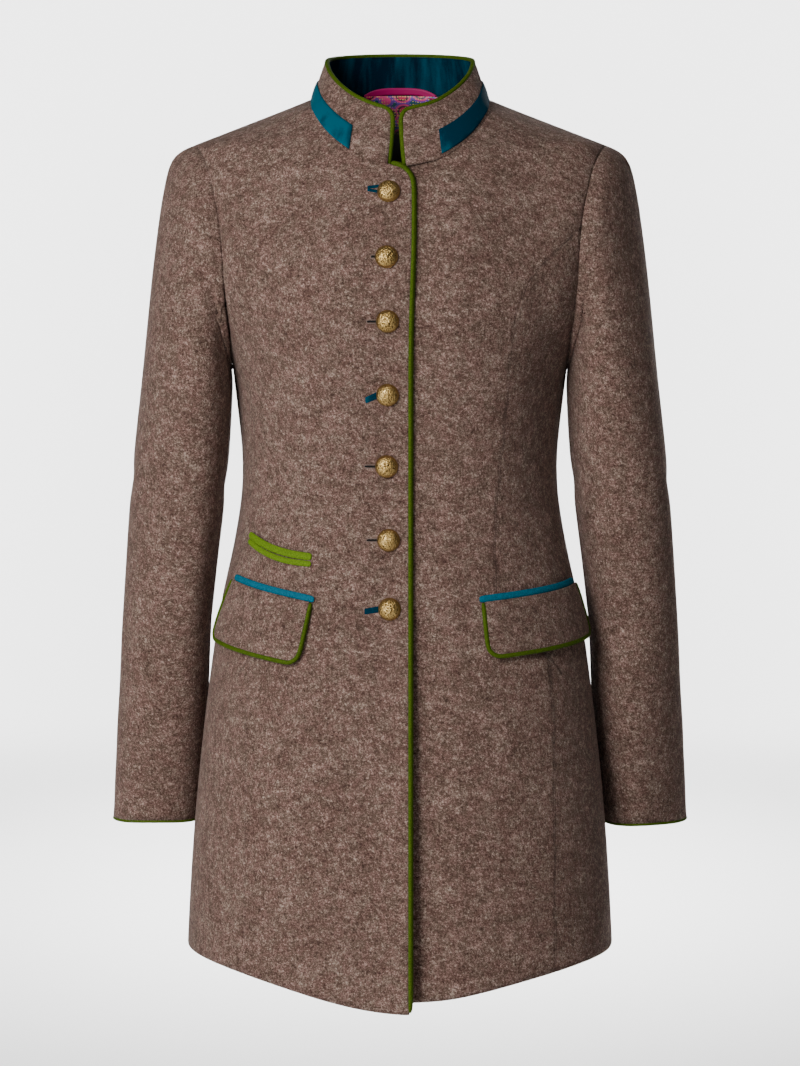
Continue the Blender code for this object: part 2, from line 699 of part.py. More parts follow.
def collar_points(turn, share):
    """Outside of the collar: turn from centre back, positive to the left, and share of its height."""
    bearing = np.abs(turn)
    sine = np.sin(bearing)
    cosine = np.abs(np.cos(bearing))
    behind = bearing <= math.pi / 2
    across = NECK_HALF_WIDTH * sine
    back_base = on_body(across, NECK_BACK_RISE * cosine**2, back=True)
    front_base = on_body(across, -NECK_FRONT_DROP * cosine**NECK_FLATNESS)
    base = np.where(behind[..., None], back_base, front_base)
    top_height = np.where(behind, COLLAR_SIDE_HEIGHT + COLLAR_BACK_LIFT * cosine,
                          COLLAR_SIDE_HEIGHT - COLLAR_FRONT_FALL * cosine - COLLAR_FRONT_DIP * cosine**2)
    top_depth = np.where(behind, COLLAR_TOP_BACK * cosine, -COLLAR_TOP_FRONT * cosine)
    top = np.stack((COLLAR_TOP_HALF_WIDTH * sine, top_depth, top_height), axis=-1)
    points = base + (top - base) * share[..., None]
    lean = ease((bearing - COLLAR_LEAN_START) / (math.pi - COLLAR_LEAN_START))
    points[..., 0] -= COLLAR_END_LEAN * lean * share
    points[..., 0] *= np.sign(turn)
    return points


def collar_normals(turn, share):
    along = collar_points(turn + SLOPE_STEP, share) - collar_points(turn - SLOPE_STEP, share)
    upward = collar_points(turn, share + SLOPE_STEP) - collar_points(turn, share - SLOPE_STEP)
    return unit(np.cross(upward, along))


def collar_turns():
    """Columns of the collar, shared with the necklines, with one at each end of the velvet band."""
    ends = {side: math.pi - math.asin(COLLAR_END[side] / NECK_HALF_WIDTH) for side in SIDES}
    front = math.pi - neck_angles()[1:]
    behind = np.linspace(math.pi / 2, 0, BACK_NECK_COLUMNS + 1)[1:]
    shared = np.concatenate((front, behind))
    right = np.append(-ends["right"], -shared)
    left = np.append(shared[-2::-1], (BAND_END["left"], ends["left"]))
    return np.concatenate((right, np.sort(left)))


def collar():
    columns = collar_turns()
    turn, share = rounded_grid(columns, COLLAR_CORNER_TURN, COLLAR_CORNER_RISE, COLLAR_STRAIGHT_ROWS)
    share = COLLAR_BASE_SHARE + share * (1 - COLLAR_BASE_SHARE)
    points = collar_points(turn, share)
    normals = collar_normals(turn, share)
    cloth_wall("collar", points, points - normals * COLLAR_WOOL, "wool")
    facing_share = np.maximum(share, COLLAR_FACING_START)
    inward = collar_normals(turn, facing_share)
    lining = collar_points(turn, facing_share) - inward * (COLLAR_WOOL + SEAM_GAP)
    cloth_wall("collar_facing", lining, lining - inward * COLLAR_FACING, "velvet")
    whole = COLLAR_WOOL + SEAM_GAP + COLLAR_FACING
    rim_share = np.maximum(share, COLLAR_PIPING_START)
    rim = open_rim(collar_points(turn, rim_share))
    edge_strip("collar_piping", rim, open_rim(collar_normals(turn, rim_share)), -1.0,
               THIN_PIPING_PROFILE, whole, "green_piping")
    from_right = columns > -BAND_END["right"] - BAND_SLACK
    reached = columns[from_right & (columns < BAND_END["left"] + BAND_SLACK)]
    band_turn, band_share = np.meshgrid(reached, np.linspace(BAND_BOTTOM, BAND_TOP, BAND_ROWS + 1))
    facing = collar_normals(band_turn, band_share)
    under = collar_points(band_turn, band_share) + facing * RESTING_GAP
    cloth_wall("collar_band", under + facing * BAND_THICKNESS, under, "velvet")


def hanger_loop():
    """Tape laid along the back neck, its ends caught in the neck seam."""
    turn = np.linspace(-LOOP_HALF_TURN, LOOP_HALF_TURN, LOOP_STEPS + 1)
    share = LOOP_LIFT * (1 - (turn / LOOP_HALF_TURN) ** LOOP_SQUARENESS)
    points = collar_points(turn, share)
    normals = collar_normals(turn, share)
    inside = COLLAR_WOOL + SEAM_GAP + COLLAR_FACING + 2 * RESTING_GAP
    profile = ((-LOOP_HALF_HEIGHT, 0.0), (LOOP_HALF_HEIGHT, 0.0))
    edge_strip("hanger_loop", points - normals * inside, normals, 1.0,
               profile, LOOP_THICKNESS, "magenta_tape")


def neck_lining(points, normals):
    """Lining inside the back neck, made from the points of the two backs."""
    rows = np.s_[-1 - LINING_ROWS:]
    half = points[rows, :LINING_COLUMNS + 1]
    facing = normals[rows, :LINING_COLUMNS + 1]
    whole = np.concatenate((mirrored(half, "right")[:, :0:-1], half), axis=1)
    whole_facing = np.concatenate((mirrored(facing, "right")[:, :0:-1], facing), axis=1)
    outer = whole - whole_facing * (WOOL + RESTING_GAP)
    cloth_wall("neck_lining", outer, outer - whole_facing * LINING_THICKNESS, "lining")


# Pockets

def flap_place(row, across, down):
    """Angle and height on the body at a share across (from inner end) and a share down."""
    corner = dict(zip(FLAP_COLUMNS, row))
    place = {}
    for kind in ("angle", "height"):
        inner = corner["inner_top_" + kind] * (1 - down) + corner["inner_bottom_" + kind] * down
        outer = corner["outer_top_" + kind] * (1 - down) + corner["outer_bottom_" + kind] * down
        place[kind] = inner * (1 - across) + outer * across
    return round_body(np.radians(place["angle"]), place["height"])


def flap(row):
    side = row[0]
    columns = np.linspace(0, 1, FLAP_ACROSS_STEPS + 1)
    across, down = rounded_grid(columns, FLAP_CORNER_ACROSS, FLAP_CORNER_DOWN, FLAP_STRAIGHT_ROWS)
    body = flap_place(row, across, down)
    normals = body_normals(body)
    under = body + normals * (RESTING_GAP + FLAP_FLARE * down)[..., None]
    over = under + normals * WOOL
    cloth_wall("flap_" + side, mirrored(over, side), mirrored(under, side), "wool")
    edge_strip("flap_piping_" + side, mirrored(open_rim(over), side), mirrored(open_rim(normals), side),
               -SIDES[side], THIN_PIPING_PROFILE, WOOL, "green_piping")
    along = np.linspace(-WELT_OVERHANG, 1, WELT_STEPS + 1)
    line = flap_place(row, along, np.zeros_like(along))
    facing = body_normals(line)
    profile = ((SEAM_GAP, WELT_BULGE / 2), (WELT_HEIGHT / 2, WELT_BULGE), (WELT_HEIGHT, WELT_BULGE / 2))
    edge_strip("flap_welt_" + side, mirrored(line, side), mirrored(facing, side), SIDES[side],
               profile, -RESTING_GAP, "teal_piping")


def ticket_welt(row):
    """One lip of the small bowed pocket above the right flap."""
    lip = dict(zip(TICKET_COLUMNS, row))
    along = np.linspace(0, 1, WELT_STEPS + 1)
    angle = np.radians(lip["inner_angle"] * (1 - along) + lip["outer_angle"] * along)
    height = lip["inner_height"] * (1 - along) + lip["outer_height"] * along
    line = round_body(angle, height - lip["bow"] * np.sin(math.pi * along))
    facing = body_normals(line)
    edge = (lip["half_height"], WELT_BULGE / 2)
    profile = ((-edge[0], edge[1]), (0.0, WELT_BULGE), edge)
    edge_strip(lip["name"], mirrored(line, "right"), mirrored(facing, "right"), 1.0,
               profile, -RESTING_GAP, "green_felt")


# Buttons

def button(number, across, height):
    place = on_body(np.array(across), np.array(height))
    normal = body_normals(place)
    bm = bmesh.new()
    profile = [bm.verts.new((radius, 0.0, rise)) for radius, rise in BUTTON_PROFILE]
    edges = [bm.edges.new(pair) for pair in zip(profile, profile[1:])]
    bmesh.ops.spin(bm, geom=profile + edges, cent=(0, 0, 0), axis=(0, 0, 1), angle=2 * math.pi,
                   steps=BUTTON_SIDES, use_merge=True)
    bmesh.ops.remove_doubles(bm, verts=bm.verts, dist=MERGE_DISTANCE)
    thing = add_object("button_%d" % number, bm, "brass")
    seat = mirrored(place + normal * RESTING_GAP, "right")
    facing = Vector(mirrored(normal, "right"))
    thing.location = seat
    thing.rotation_euler = facing.to_track_quat("Z", "Y").to_euler()


def build():
    for thing in list(bpy.data.objects):
        bpy.data.objects.remove(thing)
    edges = {}
    for side in SIDES:
        edges[side] = front_panel(side)
        side_front_panel(side)
        back = back_panel(side)
        sleeve(side)
    points, normals = edges["right"]
    edge_strip("front_piping", mirrored(points[:, 0], "right"), mirrored(normals[:, 0], "right"), -1.0,
               PIPING_PROFILE, WOOL, "green_piping")
    collar()
    hanger_loop()
    neck_lining(*back)
    for row in FLAPS:
        flap(row)
    for row in TICKET_WELTS:
        ticket_welt(row)
    for number, (across, height) in enumerate(BUTTONS, start=1):
        button(number, across, height)


build()
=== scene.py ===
"""Looks of a long fitted blazer in its worn shape: felted wool, velvet, piping, brass buttons."""

import math

import bmesh
import bpy
import numpy as np
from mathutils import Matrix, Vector, noise
from mathutils.bvhtree import BVHTree
from mathutils.kdtree import KDTree


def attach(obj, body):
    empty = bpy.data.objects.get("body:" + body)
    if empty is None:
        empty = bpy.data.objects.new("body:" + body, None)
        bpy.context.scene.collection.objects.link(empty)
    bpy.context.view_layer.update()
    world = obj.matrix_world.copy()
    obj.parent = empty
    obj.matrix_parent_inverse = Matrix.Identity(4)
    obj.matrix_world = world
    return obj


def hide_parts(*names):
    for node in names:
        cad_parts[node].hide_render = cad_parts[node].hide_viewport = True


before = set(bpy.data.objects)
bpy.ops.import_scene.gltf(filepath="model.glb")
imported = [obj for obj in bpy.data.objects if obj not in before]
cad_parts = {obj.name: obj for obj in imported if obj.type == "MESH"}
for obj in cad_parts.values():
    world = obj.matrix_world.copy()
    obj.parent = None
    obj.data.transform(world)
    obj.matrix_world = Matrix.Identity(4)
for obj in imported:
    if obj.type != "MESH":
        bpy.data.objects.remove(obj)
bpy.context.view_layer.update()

# Studio
# A pale paper sweep runs below and far behind, with four lights of its own. One large soft light
# stands at the left, with a low bounce beside it, a weak light overhead and one for the back. The
# camera looks slightly down from chest height.
CAMERA_PLACE = Vector((0.0, -3.1878, -0.1167))
CAMERA_TARGET = Vector((0.0, 0.0, -0.3956))
CAMERA_LENS = 117.46
SWEEP_FLOOR = -1.25
SWEEP_BACK = 6.0
SWEEP_RADIUS = 1.2
SWEEP_FRONT = -6.0
SWEEP_TOP = 4.5
SWEEP_HALF_WIDTH = 6.0
SWEEP_STEPS = 16
PAPER_SURFACE = {"Base Color": (0.80, 0.80, 0.80, 1.0), "Roughness": 0.95}
WORLD_COLOUR = (1.0, 1.0, 1.0, 1.0)
WORLD_STRENGTH = 0.065
LIGHT_COLUMNS = ("name", "place", "target", "size", "power", "spread")
LIGHTS = (
    ("window_left", (-1.48, -2.62, 0.70), (0.0, 0.0, -0.38), 1.1, 84.0, 180),
    ("floor_bounce", (-2.15, -1.80, -1.13), (0.0, 0.0, -0.38), 0.8, 25.0, 180),
    ("overhead", (0.45, -1.75, 2.0), (0.0, 0.0, -0.3), 0.3, 10.0, 180),
    ("back_window", (1.90, 3.20, 1.00), (0.0, 0.1, -0.4), 0.7, 30.0, 180),
    ("backdrop_floor", (0.0, 3.7, 2.6), (0.0, 2.4, -1.25), 0.8, 58.0, 50),
    ("backdrop_top", (0.0, 4.3, 1.9), (0.0, 6.0, -0.3), 1.2, 178.0, 180),
    ("backdrop_left", (-2.1, 4.5, 0.0), (-0.2, 6.0, -0.4), 1.0, 110.0, 180),
    ("backdrop_right", (2.1, 4.5, 0.0), (0.2, 6.0, -0.4), 1.0, 110.0, 180),
)


def new_finish(name, surface):
    """A material, its node tree and its shader, with the shader's constant values set."""
    finish = bpy.data.materials.new(name)
    finish.use_nodes = True
    shader = finish.node_tree.nodes["Principled BSDF"]
    for socket, value in surface.items():
        shader.inputs[socket].default_value = value
    return finish, finish.node_tree, shader


def new_piece(name, bm):
    """An object of its own from a bmesh, shaded smooth."""
    mesh = bpy.data.meshes.new(name)
    bm.to_mesh(mesh)
    bm.free()
    mesh.shade_smooth()
    piece = bpy.data.objects.new(name, mesh)
    bpy.context.scene.collection.objects.link(piece)
    return piece


def paper_sweep():
    """Floor, curve and wall in one strip."""
    bm = bmesh.new()
    bend = np.linspace(0, math.pi / 2, SWEEP_STEPS + 1)
    profile = [(SWEEP_FRONT, SWEEP_FLOOR)]
    for angle in bend:
        depth = SWEEP_BACK - SWEEP_RADIUS * (1 - math.sin(angle))
        height = SWEEP_FLOOR + SWEEP_RADIUS * (1 - math.cos(angle))
        profile.append((depth, height))
    profile.append((SWEEP_BACK, SWEEP_TOP))
    line = [bm.verts.new((-SWEEP_HALF_WIDTH, depth, height)) for depth, height in profile]
    edges = [bm.edges.new(pair) for pair in zip(line, line[1:])]
    swept = bmesh.ops.extrude_edge_only(bm, edges=edges)
    moved = [thing for thing in swept["geom"] if isinstance(thing, bmesh.types.BMVert)]
    bmesh.ops.translate(bm, verts=moved, vec=(2 * SWEEP_HALF_WIDTH, 0, 0))
    bmesh.ops.recalc_face_normals(bm, faces=bm.faces)
    sweep = new_piece("paper_sweep", bm)
    finish, _, _ = new_finish("paper", PAPER_SURFACE)
    sweep.data.materials.append(finish)


def studio_lights():
    for row in LIGHTS:
        light = dict(zip(LIGHT_COLUMNS, row))
        lamp = bpy.data.lights.new(light["name"], "AREA")
        lamp.size = light["size"]
        lamp.energy = light["power"]
        lamp.spread = math.radians(light["spread"])
        holder = bpy.data.objects.new(light["name"], lamp)
        aim = Vector(light["target"]) - Vector(light["place"])
        holder.location = light["place"]
        holder.rotation_euler = aim.to_track_quat("-Z", "Y").to_euler()
        bpy.context.scene.collection.objects.link(holder)
    world = bpy.data.worlds.new("studio")
    world.use_nodes = True
    background = world.node_tree.nodes["Background"]
    background.inputs["Color"].default_value = WORLD_COLOUR
    background.inputs["Strength"].default_value = WORLD_STRENGTH
    bpy.context.scene.world = world


def photo_camera():
    lens = bpy.data.cameras.new("camera")
    lens.lens = CAMERA_LENS
    camera = bpy.data.objects.new("camera", lens)
    camera.location = CAMERA_PLACE
    camera.rotation_euler = (CAMERA_TARGET - CAMERA_PLACE).to_track_quat("-Z", "Y").to_euler()
    bpy.context.scene.collection.objects.link(camera)
    bpy.context.scene.camera = camera


paper_sweep()
studio_lights()
photo_camera()

# Wool
# Boiled wool: a thick felted cloth of brown, taupe and cream fibres, with a short nap that hides
# the knit. Light fibres lie on a darker ground, and the mix drifts in soft patches. Along the body
# seams the colour is darkened with painted shade.
FIBRE_STRETCH = (1.0, 1.0, 2.2)
NOISE_COLUMNS = ("lean", "scale", "detail", "distortion", "weight")
WOOL_NOISES = (
    (55.0, 1350.0, 1.0, 0.6, 0.35),
    (-40.0, 1100.0, 1.0, 0.6, 0.34),
    (80.0, 560.0, 2.0, 1.0, 0.30),
    (-10.0, 480.0, 2.0, 1.0, 0.265),
    (-70.0, 200.0, 2.0, 0.4, 0.20),
    (75.0, 66.0, 3.0, 0.0, 0.12),
)
WOOL_STOPS = (
    (0.34, (0.044, 0.0245, 0.0188, 1.0)),
    (0.47, (0.115, 0.0705, 0.0560, 1.0)),
    (0.55, (0.201, 0.1315, 0.1075, 1.0)),
    (0.70, (0.492, 0.385, 0.325, 1.0)),
)
WOOL_SURFACE = {"Roughness": 0.95, "Sheen Weight": 0.12, "Sheen Roughness": 0.6,
                "Sheen Tint": (0.75, 0.62, 0.55, 1.0), "Specular IOR Level": 0.1}
TINT_STOPS = ((0.38, (1.00, 0.90, 0.90, 1.0)), (0.62, (0.93, 0.94, 0.90, 1.0)))
TINT_SCALE = 110.0
TINT_DETAIL = 3.0
# Colour of the painted shade mixed into the wool along the seams.
SEAM_SHADE_COLOUR = (0.018, 0.011, 0.009, 1.0)
NOISE_MIDDLE = 0.5
RAMP_MIDDLE = 0.5
MIX_SOCKETS = (0, 6, 7)
MIX_RESULT = 2
NAP_DEPTH = 0.0009
NAP_STRENGTH = 0.7


def node(tree, kind, inputs=None, **settings):
    """A shader node; an input given as a socket is linked, and any other value is set."""
    made = tree.nodes.new("ShaderNode" + kind)
    for name, value in settings.items():
        setattr(made, name, value)
    for name, value in (inputs or {}).items():
        if isinstance(value, bpy.types.NodeSocket):
            tree.links.new(value, made.inputs[name])
        else:
            made.inputs[name].default_value = value
    return made


def ramp(tree, factor, stops, interpolation="LINEAR"):
    """A colour ramp through the given stops."""
    made = node(tree, "ValToRGB", {"Fac": factor})
    made.color_ramp.interpolation = interpolation
    elements = made.color_ramp.elements
    while len(elements) < len(stops):
        elements.new(RAMP_MIDDLE)
    for element, (place, colour) in zip(elements, stops):
        element.position = place
        element.color = colour
    return made.outputs["Color"]


def mixed(tree, factor, first, second, blend="MIX"):
    """Two colours mixed; each input is a socket or a plain value."""
    made = node(tree, "Mix", data_type="RGBA", blend_type=blend)
    for place, value in zip(MIX_SOCKETS, (factor, first, second)):
        if isinstance(value, bpy.types.NodeSocket):
            tree.links.new(value, made.inputs[place])
        else:
            made.inputs[place].default_value = value
    return made.outputs[MIX_RESULT]


def layered_noise(tree, place, layers):
    """A sum of leaning, drawn-out noises about one half, from a table of scales and weights."""
    total = NOISE_MIDDLE
    for row in layers:
        layer = dict(zip(NOISE_COLUMNS, row))
        turned = (0.0, math.radians(layer["lean"]), 0.0)
        drawn = node(tree, "Mapping", {"Vector": place, "Rotation": turned, "Scale": FIBRE_STRETCH},
                     vector_type="TEXTURE").outputs["Vector"]
        fibres = node(tree, "TexNoise", {"Vector": drawn, "Scale": layer["scale"], "Detail": layer["detail"],
                                         "Distortion": layer["distortion"]}).outputs["Fac"]
        centred = node(tree, "Math", {0: fibres, 1: NOISE_MIDDLE}, operation="SUBTRACT").outputs[0]
        total = node(tree, "Math", {0: centred, 1: layer["weight"], 2: total},
                     operation="MULTIPLY_ADD").outputs[0]
    return total


def wool_finish():
    finish, tree, shader = new_finish("boiled_wool", WOOL_SURFACE)
    place = node(tree, "TexCoord").outputs["Object"]
    fibre = layered_noise(tree, place, WOOL_NOISES)
    patch = node(tree, "TexNoise", {"Vector": place, "Scale": TINT_SCALE, "Detail": TINT_DETAIL})
    tint = ramp(tree, patch.outputs["Fac"], TINT_STOPS)
    melange = mixed(tree, 1.0, ramp(tree, fibre, WOOL_STOPS), tint, "MULTIPLY")
    # Painted shade: the wool's colour darkens towards the seams, where the turned-in edges meet.
    seam = node(tree, "Attribute", attribute_name="seam").outputs["Fac"]
    tree.links.new(mixed(tree, seam, melange, SEAM_SHADE_COLOUR), shader.inputs["Base Color"])
    nap = node(tree, "Bump", {"Height": fibre, "Strength": NAP_STRENGTH, "Distance": NAP_DEPTH})
    tree.links.new(nap.outputs["Normal"], shader.inputs["Normal"])
    return finish


WOOL = wool_finish()

# Body panels
# Fronts, side fronts and backs are cut from the wool and sewn together, with the seams pressed open,
# so each edge turns in a little. Broad swells move the cloth forward or back, and troughs run where
# it hangs from the armholes and at the waist.
MERGE = 1e-5
BODY_AXIS = (0.0, 0.0)
SKIN_FOLD = math.radians(50)
QUAD_SKEW = math.radians(75)
RIM_CORNER = math.radians(150)
WOOL_THICKNESS = 0.0022
WOOL_LEVELS = 3
SEAM_TURN = 0.0003
SEAM_SPREAD = 0.0008
SEAM_REACH = 0.0045
FACINGS = {"front": (0, -1, 0), "back": (0, 1, 0), "left": (1, 0, 0), "right": (-1, 0, 0)}
CREASE_COLUMNS = ("facing", "start", "end", "half_width", "depth")
CREASE_ENDS = (0.02, 0.98)
CREASE_TAPER = 0.7
CREASE_TURN = 0.5
SWELL_BACK = 0.06
SWELL_DEPTH = 0.08
ARMHOLE_SWELLS = (
    ("front", (0.192, 0.060), (0.152, -0.260), 0.036, -0.0190),
    ("front", (-0.192, 0.060), (-0.152, -0.260), 0.036, -0.0130),
)
BODY_SWELLS = ARMHOLE_SWELLS + (("front", (0.142, -0.200), (0.138, -0.390), 0.024, 0.0108),)
EDGE_SWELLS = (
    ("front", (0.022, -0.020), (0.022, -0.600), 0.030, -0.0012),
    ("front", (0.022, -0.420), (0.022, -1.300), 0.034, -0.0100),
)
BODY_CREASES = (
    ("front", (0.158, -0.225), (0.118, -0.180), 0.010, 0.0020),
    ("front", (-0.158, -0.215), (-0.112, -0.180), 0.012, 0.0012),
    ("front", (-0.140, -0.350), (-0.095, -0.330), 0.012, 0.0010),
    ("front", (0.030, -0.610), (0.110, -0.600), 0.010, 0.0010),
    ("front", (-0.120, -0.640), (-0.050, -0.655), 0.014, 0.0009),
    ("back", (0.122, -0.180), (0.104, -0.345), 0.018, 0.0042),
    ("back", (-0.124, -0.185), (-0.106, -0.360), 0.018, 0.0046),
    ("back", (-0.105, -0.318), (-0.018, -0.334), 0.013, 0.0046),
    ("back", (0.112, -0.350), (0.018, -0.362), 0.012, 0.0042),
    ("back", (-0.075, -0.044), (-0.018, -0.052), 0.012, 0.0034),
    ("back", (0.142, -0.135), (0.092, -0.075), 0.014, 0.0044),
    ("back", (-0.144, -0.130), (-0.096, -0.070), 0.014, 0.0046),
    ("back", (0.062, -0.480), (0.082, -1.050), 0.030, 0.0050),
    ("back", (-0.072, -0.500), (-0.094, -1.050), 0.032, 0.0054),
)
BUTTON_TROUGH = (("front", (-0.013, -0.030), (-0.013, -0.640), 0.011, 0.0020),)
LAP_CREASES = (("front", (0.012, -0.460), (0.012, -1.200), 0.024, 0.0040),)
PANEL_COLUMNS = ("node", "width", "length", "area")
BODY_PANELS = (
    ("front_right", 0.205, 0.815, 0.110),
    ("front_left", 0.225, 0.810, 0.126),
    ("side_front_right", 0.130, 0.670, 0.068),
    ("side_front_left", 0.130, 0.668, 0.068),
    ("back_right", 0.305, 0.790, 0.176),
    ("back_left", 0.305, 0.790, 0.176),
)
SEAM_TURNS = {"front_right": 0.0001, "side_front_right": 0.0001, "front_left": 0.0002,
              "side_front_left": 0.0002, "back_right": 0.0006, "back_left": 0.0006}
PANEL_CREASES = {"front_left": BODY_CREASES + LAP_CREASES, "front_right": BODY_CREASES + BUTTON_TROUGH}
PANEL_SWELLS = {"front_right": BODY_SWELLS + EDGE_SWELLS}
# Seams whose crevices are darkened with painted shade in the wool's colour; the last column says how dark.
SEAM_COLUMNS = ("first", "second", "shade")
BODY_SEAMS = (
    ("front_left", "side_front_left", 0.60),
    ("side_front_left", "back_left", 0.50),
    ("side_front_right", "back_right", 0.50),
    ("back_left", "back_right", 0.50),
)
SEAM_SHADE_REACH = 0.003


def cad_copy(name):
    """A merged copy of a solid, in a bmesh."""
    bm = bmesh.new()
    bm.from_mesh(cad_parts[name].data)
    bmesh.ops.remove_doubles(bm, verts=bm.verts, dist=MERGE)
    return bm


def facing_away(skin, axis):
    """How much of a skin faces away from an upright axis, by area."""
    total = 0.0
    for face in skin:
        centre = face.calc_center_median()
        away = Vector((centre.x - axis[0], centre.y - axis[1], 0.0))
        total += face.calc_area() * face.normal.dot(away)
    return total


def outer_skin(name, axis):
    """The side of a cloth wall that faces away from an upright axis, as a sheet of four-sided faces."""
    bm = cad_copy(name)
    waiting = set(bm.faces)
    skins = []
    while waiting:
        skin = [waiting.pop()]
        for face in skin:
            for edge in face.edges:
                if len(edge.link_faces) == 2 and edge.calc_face_angle() < SKIN_FOLD:
                    for neighbour in edge.link_faces:
                        if neighbour in waiting:
                            waiting.remove(neighbour)
                            skin.append(neighbour)
        skins.append(skin)
    outside = set(max(skins, key=lambda skin: facing_away(skin, axis)))
    bmesh.ops.delete(bm, geom=[face for face in bm.faces if face not in outside], context="FACES")
    join_quads(bm)
    return bm


def join_quads(bm):
    """Joins triangles to four-sided faces, apart from those that would fold over."""
    bmesh.ops.join_triangles(bm, faces=bm.faces, angle_face_threshold=math.pi,
                             angle_shape_threshold=QUAD_SKEW)
    bmesh.ops.connect_verts_concave(bm, faces=bm.faces)


def hold_corners(bm):
    """Keeps the corners of an open sheet from being smoothed away."""
    held = bm.verts.layers.float.new("crease_vert")
    for vertex in bm.verts:
        ways = [(edge.other_vert(vertex).co - vertex.co).normalized() for edge in vertex.link_edges
                if edge.is_boundary]
        if len(ways) == 2 and ways[0].angle(ways[1]) < RIM_CORNER:
            vertex[held] = 1.0


def made_fine(piece, levels):
    """Subdivides a piece smoothly and keeps the result as its mesh."""
    smooth = piece.modifiers.new("smooth", "SUBSURF")
    smooth.levels = levels
    smooth.render_levels = levels
    smooth.boundary_smooth = "PRESERVE_CORNERS"
    graph = bpy.context.evaluated_depsgraph_get()
    fine = bpy.data.meshes.new_from_object(piece.evaluated_get(graph))
    piece.modifiers.clear()
    piece.data = fine
    piece.data.name = piece.name
    piece.data.shade_smooth()


def points_of(mesh):
    """Vertex places and vertex normals as arrays."""
    places = np.empty(len(mesh.vertices) * 3)
    normals = np.empty(len(mesh.vertices) * 3)
    mesh.vertices.foreach_get("co", places)
    mesh.vertex_normals.foreach_get("vector", normals)
    return places.reshape(-1, 3), normals.reshape(-1, 3)


def rim_of(mesh):
    """Distance of each vertex from the nearest open edge, and the way out of the sheet at that edge."""
    bm = bmesh.new()
    bm.from_mesh(mesh)
    outward = np.zeros((len(bm.verts), 3))
    for edge in bm.edges:
        if edge.is_boundary:
            first, second = (vertex.co for vertex in edge.verts)
            along = (second - first).normalized()
            out = (first + second) / 2 - edge.link_faces[0].calc_center_median()
            out = (out - along * out.dot(along)).normalized()
            for vertex in edge.verts:
                outward[vertex.index] += out
    length = np.linalg.norm(outward, axis=1)
    rim = np.flatnonzero(length > 0)
    outward[rim] /= length[rim, None]
    tree = KDTree(len(rim))
    bm.verts.ensure_lookup_table()
    for place in rim:
        tree.insert(bm.verts[place].co, place)
    tree.balance()
    distance = np.array([tree.find(vertex.co)[2] for vertex in bm.verts])
    bm.free()
    return distance, outward


def crease_depth(places, normals, creases):
    """How far the troughs of a table sink each point; ridges have a negative depth."""
    sunk = np.zeros(len(places))
    for row in creases:
        crease = dict(zip(CREASE_COLUMNS, row))
        facing = np.array(FACINGS[crease["facing"]])
        flat = places[:, [1, 2]] if facing[0] else places[:, [0, 2]]
        start = np.array(crease["start"])
        run = np.array(crease["end"]) - start
        share = np.clip((flat - start) @ run / (run @ run), 0, 1)
        away = np.linalg.norm(flat - start - share[:, None] * run, axis=1)
        nearness = np.exp(-(away / crease["half_width"]) ** 2)
        shown = np.clip(normals @ facing, 0, 1) ** CREASE_TURN
        taper = np.sin(math.pi * np.clip(share, *CREASE_ENDS)) ** CREASE_TAPER
        sunk += crease["depth"] * nearness * shown * taper
    return sunk


def swollen(places, swells):
    """Points moved forward by the broad swells of a table, or back where a depth is positive.

    The garment's back stays where it is."""
    ahead = np.tile(FACINGS["front"], (len(places), 1))
    share = np.clip((SWELL_BACK - places[:, 1]) / SWELL_DEPTH, 0, 1)
    return places - ahead * (crease_depth(places, ahead, swells) * share)[:, None]


def set_points(mesh, places):
    mesh.vertices.foreach_set("co", places.ravel())
    mesh.update()


def cloth_piece(name, levels, finish, thickness, creases=(), turn=SEAM_TURN, spread=SEAM_SPREAD,
                axis=BODY_AXIS, swells=()):
    """A sewn sheet on its solid's outside: subdivided, creased, with its edges turned in."""
    skin = outer_skin(name, axis)
    hold_corners(skin)
    piece = new_piece(name + "_cloth", skin)
    made_fine(piece, levels)
    set_points(piece.data, swollen(points_of(piece.data)[0], swells))
    places, normals = points_of(piece.data)
    distance, outward = rim_of(piece.data)
    sunk = crease_depth(places, normals, creases) + turn * np.exp(-(distance / SEAM_REACH) ** 2)
    set_points(piece.data, places - normals * sunk[:, None] + outward * spread)
    piece.data.materials.clear()
    piece.data.materials.append(finish)
    wall = piece.modifiers.new("wall", "SOLIDIFY")
    wall.thickness = thickness
    wall.offset = -1.0
    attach(piece, "root")
    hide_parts(name)
    return piece


def shade_seam(cloth, other, shade):
    """Marks painted shade on a cloth: the nearer a vertex lies to its seam with another one, the darker."""
    tree = KDTree(len(other.data.vertices))
    for vertex in other.data.vertices:
        tree.insert(vertex.co, vertex.index)
    tree.balance()
    reach = np.array([tree.find(vertex.co)[2] for vertex in cloth.data.vertices])
    mark = cloth.data.attributes.get("seam") or cloth.data.attributes.new("seam", "FLOAT", "POINT")
    marked = np.empty(len(reach))
    mark.data.foreach_get("value", marked)
    nearness = np.clip(1 - reach / SEAM_SHADE_REACH, 0, 1)
    mark.data.foreach_set("value", np.maximum(marked, shade * nearness))


body_cloths = {}
for row in BODY_PANELS:
    panel = dict(zip(PANEL_COLUMNS, row))
    name = panel["node"]
    cloth = cloth_piece(name, WOOL_LEVELS, WOOL, WOOL_THICKNESS, PANEL_CREASES.get(name, BODY_CREASES),
                        turn=SEAM_TURNS[name], swells=PANEL_SWELLS.get(name, BODY_SWELLS))
    body_cloths[name] = cloth
for row in BODY_SEAMS:
    seam = dict(zip(SEAM_COLUMNS, row))
    shade_seam(body_cloths[seam["first"]], body_cloths[seam["second"]], seam["shade"])
    shade_seam(body_cloths[seam["second"]], body_cloths[seam["first"]], seam["shade"])

